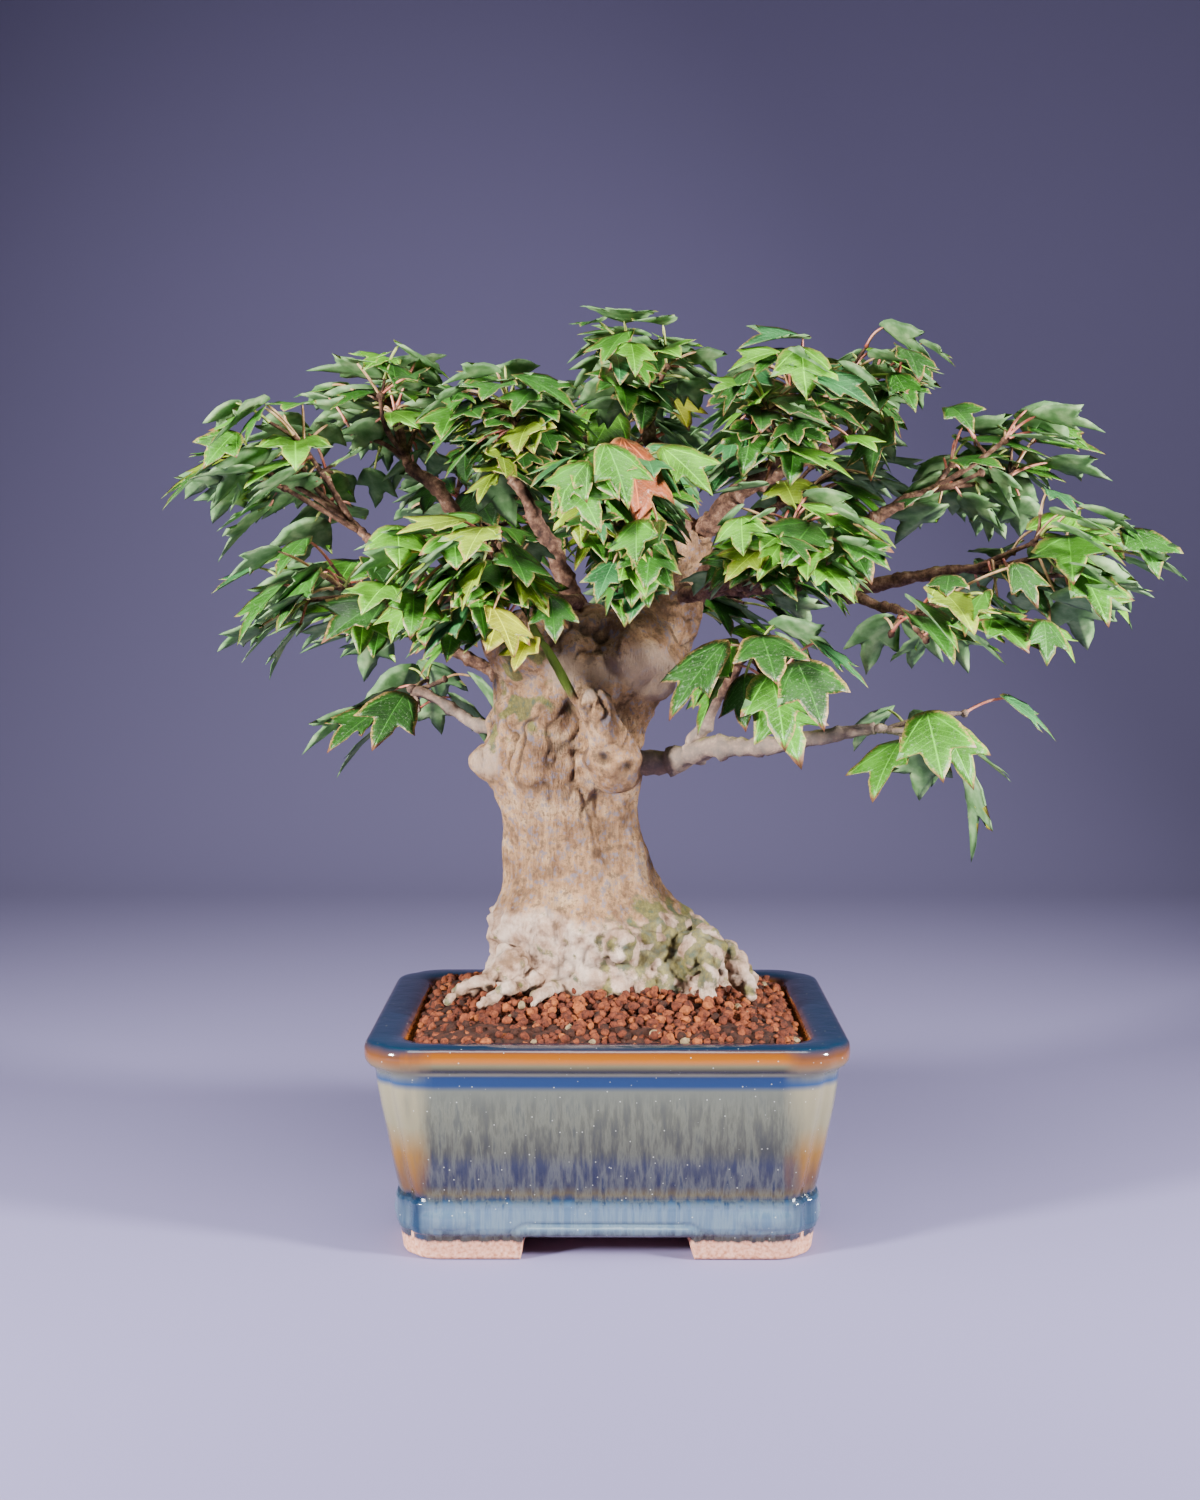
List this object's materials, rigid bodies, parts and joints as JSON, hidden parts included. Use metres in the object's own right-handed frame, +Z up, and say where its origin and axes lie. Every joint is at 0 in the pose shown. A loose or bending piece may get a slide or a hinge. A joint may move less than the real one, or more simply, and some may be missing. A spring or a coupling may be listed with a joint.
{
  "type": "potted bonsai tree",
  "caption": "Small potted bonsai of a three-lobed maple: a stout flared trunk, bare boughs, tiered leafy masses, and a glazed rectangular pot on feet filled with clay granules.",
  "frame": {"origin": "on the table under the middle of the whole plant's box", "axes": "+Z up; +X along the pot's long side to the viewer's right; -Y towards the viewer, the front of the pot"},
  "size_m": [0.3258, 0.206, 0.2942],
  "materials": {
    "glazed_pot": "glossy streaked blue and olive glaze over pinkish clay",
    "soil_granules": "matt fired clay granules",
    "trunk_bark": "rough grey-brown bark",
    "bough_bark": "rough brown bark",
    "leaves": "satin green leaves on brown twigs"
  },
  "bodies": {
    "root": {"bough_back": "bough_bark", "bough_back_left": "bough_bark", "bough_back_low": "bough_bark", "bough_back_right": "bough_bark", "bough_far_right": "bough_bark", "bough_front": "bough_bark", "bough_front_left": "bough_bark", "bough_front_right": "bough_bark", "bough_left": "bough_bark", "bough_left_back": "bough_bark", "bough_left_hanging": "bough_bark", "bough_left_low": "bough_bark", "bough_low_fork": "bough_bark", "bough_low_right": "bough_bark", "bough_mid_left": "bough_bark", "bough_right": "bough_bark", "bough_right_low": "bough_bark", "bough_right_top": "bough_bark", "bough_top": "bough_bark", "bough_upper_left": "bough_bark", "bough_upper_right": "bough_bark", "leaves_back": "leaves", "leaves_back_left": "leaves", "leaves_back_low": "leaves", "leaves_back_right": "leaves", "leaves_far_right": "leaves", "leaves_front": "leaves", "leaves_front_left": "leaves", "leaves_front_right": "leaves", "leaves_left": "leaves", "leaves_left_back": "leaves", "leaves_left_hanging": "leaves", "leaves_left_low": "leaves", "leaves_low_fork": "leaves", "leaves_low_right": "leaves", "leaves_mid_left": "leaves", "leaves_right": "leaves", "leaves_right_low": "leaves", "leaves_right_top": "leaves", "leaves_top": "leaves", "leaves_upper_left": "leaves", "leaves_upper_right": "leaves", "pot": "glazed_pot", "soil": "soil_granules", "trunk": "trunk_bark"}
  },
  "joints": []
}
